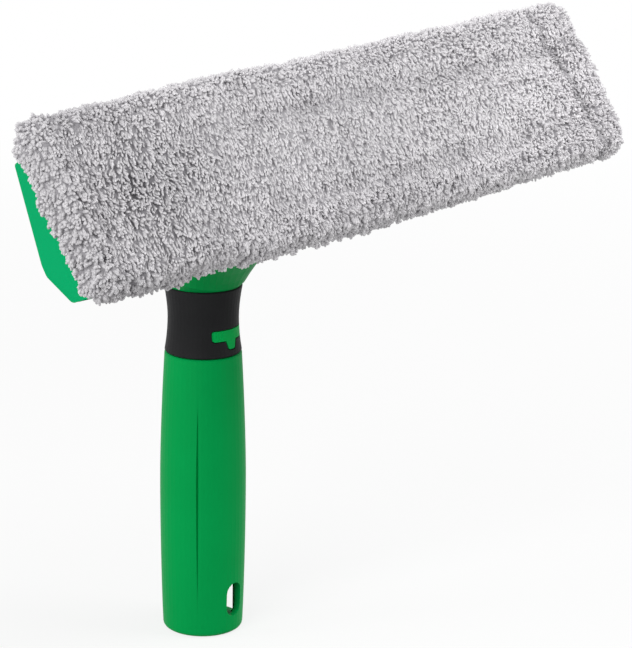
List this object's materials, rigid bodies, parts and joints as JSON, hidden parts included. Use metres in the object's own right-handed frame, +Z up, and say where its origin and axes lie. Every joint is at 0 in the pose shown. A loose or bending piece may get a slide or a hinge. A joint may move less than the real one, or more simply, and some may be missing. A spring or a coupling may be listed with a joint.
{
  "type": "window scrubber squeegee",
  "caption": "Window washing head on a short grip: a wedge-shaped body with a fluffy scrubbing pad on the front, a rubber blade along the top back edge and a T-shaped release button in the collar.",
  "frame": {"origin": "centre of the flat foot of the grip", "axes": "+Z up the grip towards the head, +X along the head's length to the right when the pad is seen from the front, -Y out of the pad's side"},
  "size_m": [0.35, 0.1242, 0.2669],
  "materials": {
    "grip_green": "satin",
    "core_grey": "satin",
    "screw_steel": "zinc plated",
    "collar_black": "matt",
    "button_green": "satin",
    "body_green": "satin",
    "cap_green": "satin",
    "tongue_white": "satin",
    "hook_tape": "hook tape",
    "channel_aluminium": "drawn",
    "blade_rubber": "matt",
    "clip_black": "satin",
    "backing_fabric": "loop fabric",
    "microfibre_grey": "long tufted pile"
  },
  "bodies": {
    "handle": {"grip_shell": "grip_green", "handle_core": "core_grey", "core_screw": "screw_steel", "core_washer": "screw_steel", "collar_sleeve": "collar_black"},
    "button": {"release_button": "button_green"},
    "head": {"neck": "body_green", "latch_tongue": "tongue_white", "latch_screw": "screw_steel", "neck_screw_1": "screw_steel", "neck_screw_2": "screw_steel", "neck_screw_3": "screw_steel", "neck_screw_4": "screw_steel", "head_shell": "body_green", "pad_plate": "body_green", "plate_screw_1": "screw_steel", "plate_screw_2": "screw_steel", "plate_screw_3": "screw_steel", "plate_screw_4": "screw_steel", "plate_screw_5": "screw_steel", "plate_screw_6": "screw_steel", "plate_screw_7": "screw_steel", "plate_screw_8": "screw_steel", "plate_screw_9": "screw_steel", "plate_screw_10": "screw_steel", "end_cap_left": "cap_green", "end_cap_right": "cap_green", "hook_strip_upper": "hook_tape", "hook_strip_middle": "hook_tape", "hook_strip_lower": "hook_tape", "blade_channel": "channel_aluminium", "rubber_blade": "blade_rubber", "blade_clip_left": "clip_black", "blade_clip_right": "clip_black"},
    "pad": {"pad_backing": "backing_fabric", "scrubber_pad": "microfibre_grey"}
  },
  "joints": [
    {"name": "release_button_press", "type": "slide", "parent": "handle", "child": "button", "axis": [0, 1, 0], "range_m": [0, 0.002], "stiffness_N_per_m": 600, "springref_m": -0.001, "deforming": ["latch_tongue"]},
    {"name": "head_pull_off", "type": "slide", "parent": "handle", "child": "head", "axis": [0, 0, 1], "range_m": [0, 0.056], "deforming": ["latch_tongue"]},
    {"name": "pad_peel_off", "type": "slide", "parent": "head", "child": "pad", "axis": [0, -0.8339, 0.5519], "range_m": [0, 0.03]}
  ]
}
